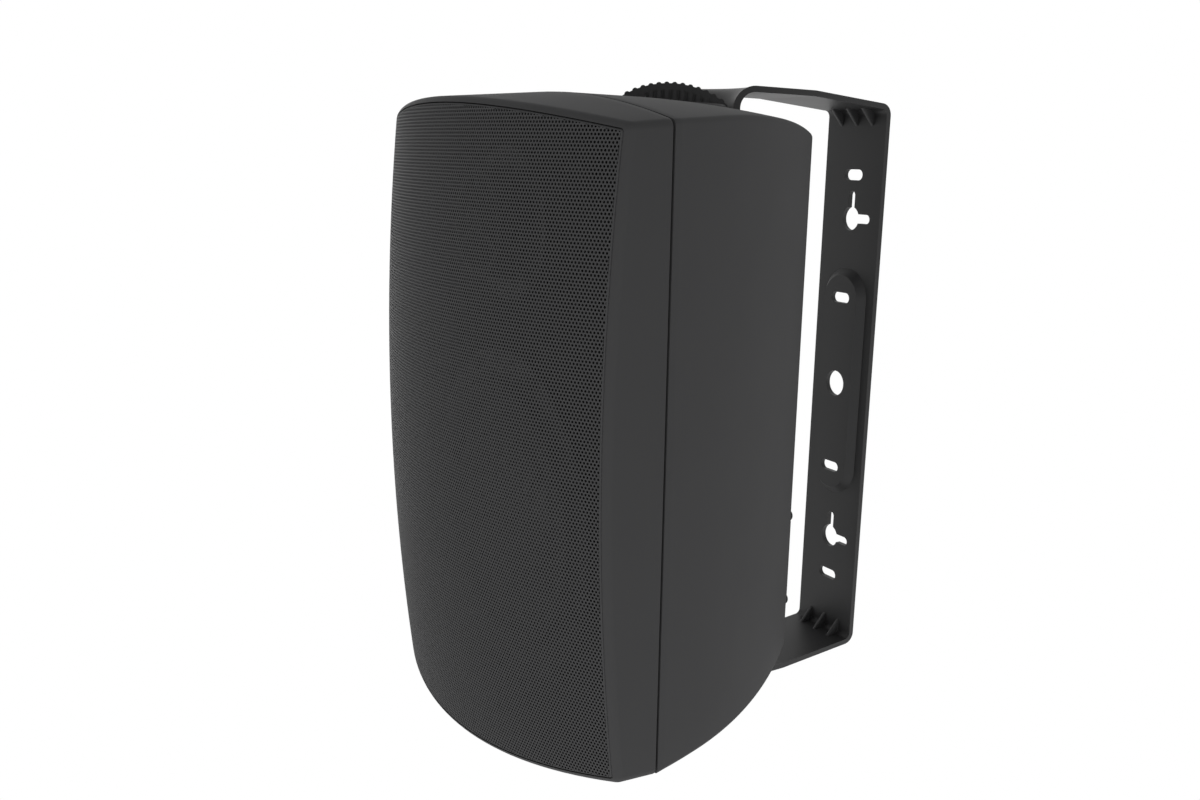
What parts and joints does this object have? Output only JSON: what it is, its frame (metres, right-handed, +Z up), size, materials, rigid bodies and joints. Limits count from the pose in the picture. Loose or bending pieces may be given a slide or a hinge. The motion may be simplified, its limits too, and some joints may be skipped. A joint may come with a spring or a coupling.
{
  "type": "outdoor patio speaker",
  "caption": "Weatherproof patio loudspeaker with a curved perforated front, tapered charcoal cabinet and a C-shaped steel wall bracket clamped by ribbed knobs.",
  "frame": {"origin": "middle of the wall bracket's plate, in the plane of its back face", "axes": "+Z up the plate; +Y into the wall, so the speaker's front faces -Y; +X to the right seen from the front"},
  "size_m": [0.2348, 0.2659, 0.3274],
  "materials": {
    "bracket_steel": "fine black powder coat",
    "cabinet_plastic": "charcoal moulded plastic, fine matt grain",
    "grille_steel": "charcoal powder coat on perforated sheet",
    "seal_rubber": "black",
    "plated_steel": "zinc plated",
    "basket_steel": "black",
    "surround_rubber": "smooth black",
    "cone_plastic": "dark grey, slightly glossy",
    "copper": "enamelled copper wire",
    "spider_cloth": "resin-dipped cloth",
    "ferrite": "sintered ferrite",
    "driver_plastic": "black",
    "dome_cloth": "coated cloth",
    "board_laminate": "green laminate",
    "capacitor_sleeve": "dark blue sleeve",
    "resistor_body": "white ceramic",
    "contact_brass": "plain brass",
    "red_plastic": "red",
    "black_plastic": "black",
    "knob_plastic": "dark moulded plastic"
  },
  "bodies": {
    "bracket": {"bracket": "bracket_steel"},
    "cabinet": {"rear_housing": "cabinet_plastic", "front_bezel": "cabinet_plastic", "front_grille": "grille_steel", "cabinet_gasket": "seal_rubber", "case_screws": "plated_steel", "woofer_gasket": "seal_rubber", "woofer_frame": "basket_steel", "woofer_surround": "surround_rubber", "woofer_spider": "spider_cloth", "woofer_top_plate": "plated_steel", "woofer_magnet": "ferrite", "woofer_yoke": "plated_steel", "woofer_screws": "plated_steel", "tweeter_faceplate": "driver_plastic", "tweeter_dome": "dome_cloth", "tweeter_diffuser": "driver_plastic", "tweeter_magnet": "ferrite", "tweeter_screws": "plated_steel", "crossover_board": "board_laminate", "crossover_bobbin": "driver_plastic", "crossover_winding": "copper", "crossover_capacitors": "capacitor_sleeve", "crossover_resistor": "resistor_body", "crossover_screws": "plated_steel", "terminal_cup": "driver_plastic", "terminal_contacts": "contact_brass", "terminal_screws": "plated_steel", "upper_friction_pad": "seal_rubber", "upper_thread_insert": "contact_brass", "lower_friction_pad": "seal_rubber", "lower_thread_insert": "contact_brass"},
    "woofer_moving_mass": {"woofer_cone": "cone_plastic", "woofer_dust_cap": "cone_plastic", "woofer_voice_coil": "copper"},
    "positive_button": {"positive_button": "red_plastic"},
    "negative_button": {"negative_button": "black_plastic"},
    "upper_washer": {"upper_washer": "plated_steel"},
    "upper_knob": {"upper_knob": "knob_plastic", "upper_stud": "plated_steel"},
    "lower_washer": {"lower_washer": "plated_steel"},
    "lower_knob": {"lower_knob": "knob_plastic", "lower_stud": "plated_steel"}
  },
  "joints": [
    {"name": "cabinet_swivel", "type": "hinge", "parent": "bracket", "child": "cabinet", "pos_m": [0, -0.131, 0], "axis": [0, 0, 1], "range_deg": [-90, 90]},
    {"name": "upper_washer_lift", "type": "slide", "parent": "cabinet", "child": "upper_washer", "axis": [0, 0, 1], "range_m": [0, 0.00375]},
    {"name": "upper_knob_turn", "type": "hinge", "parent": "upper_washer", "child": "upper_knob", "pos_m": [0, -0.131, 0.1505], "axis": [0, 0, 1], "range_deg": [0, 1081]},
    {"name": "lower_washer_lift", "type": "slide", "parent": "cabinet", "child": "lower_washer", "axis": [0, 0, -1], "range_m": [0, 0.00375]},
    {"name": "lower_knob_turn", "type": "hinge", "parent": "lower_washer", "child": "lower_knob", "pos_m": [0, -0.131, -0.1505], "axis": [0, 0, -1], "range_deg": [0, 1081]},
    {"name": "woofer_stroke", "type": "slide", "parent": "cabinet", "child": "woofer_moving_mass", "axis": [0, -1, 0], "range_m": [-0.004, 0.004], "stiffness_N_per_m": 1200, "deforming": ["woofer_surround", "woofer_spider"]},
    {"name": "positive_press", "type": "slide", "parent": "cabinet", "child": "positive_button", "axis": [0, -1, 0], "range_m": [0, 0.0035], "stiffness_N_per_m": 400, "springref_m": -0.004},
    {"name": "negative_press", "type": "slide", "parent": "cabinet", "child": "negative_button", "axis": [0, -1, 0], "range_m": [0, 0.0035], "stiffness_N_per_m": 400, "springref_m": -0.004}
  ],
  "couplings": [
    {"joint": "upper_knob_turn", "follows": "upper_washer_lift", "rad_per_m": 5026.5},
    {"joint": "lower_knob_turn", "follows": "lower_washer_lift", "rad_per_m": 5026.5}
  ]
}
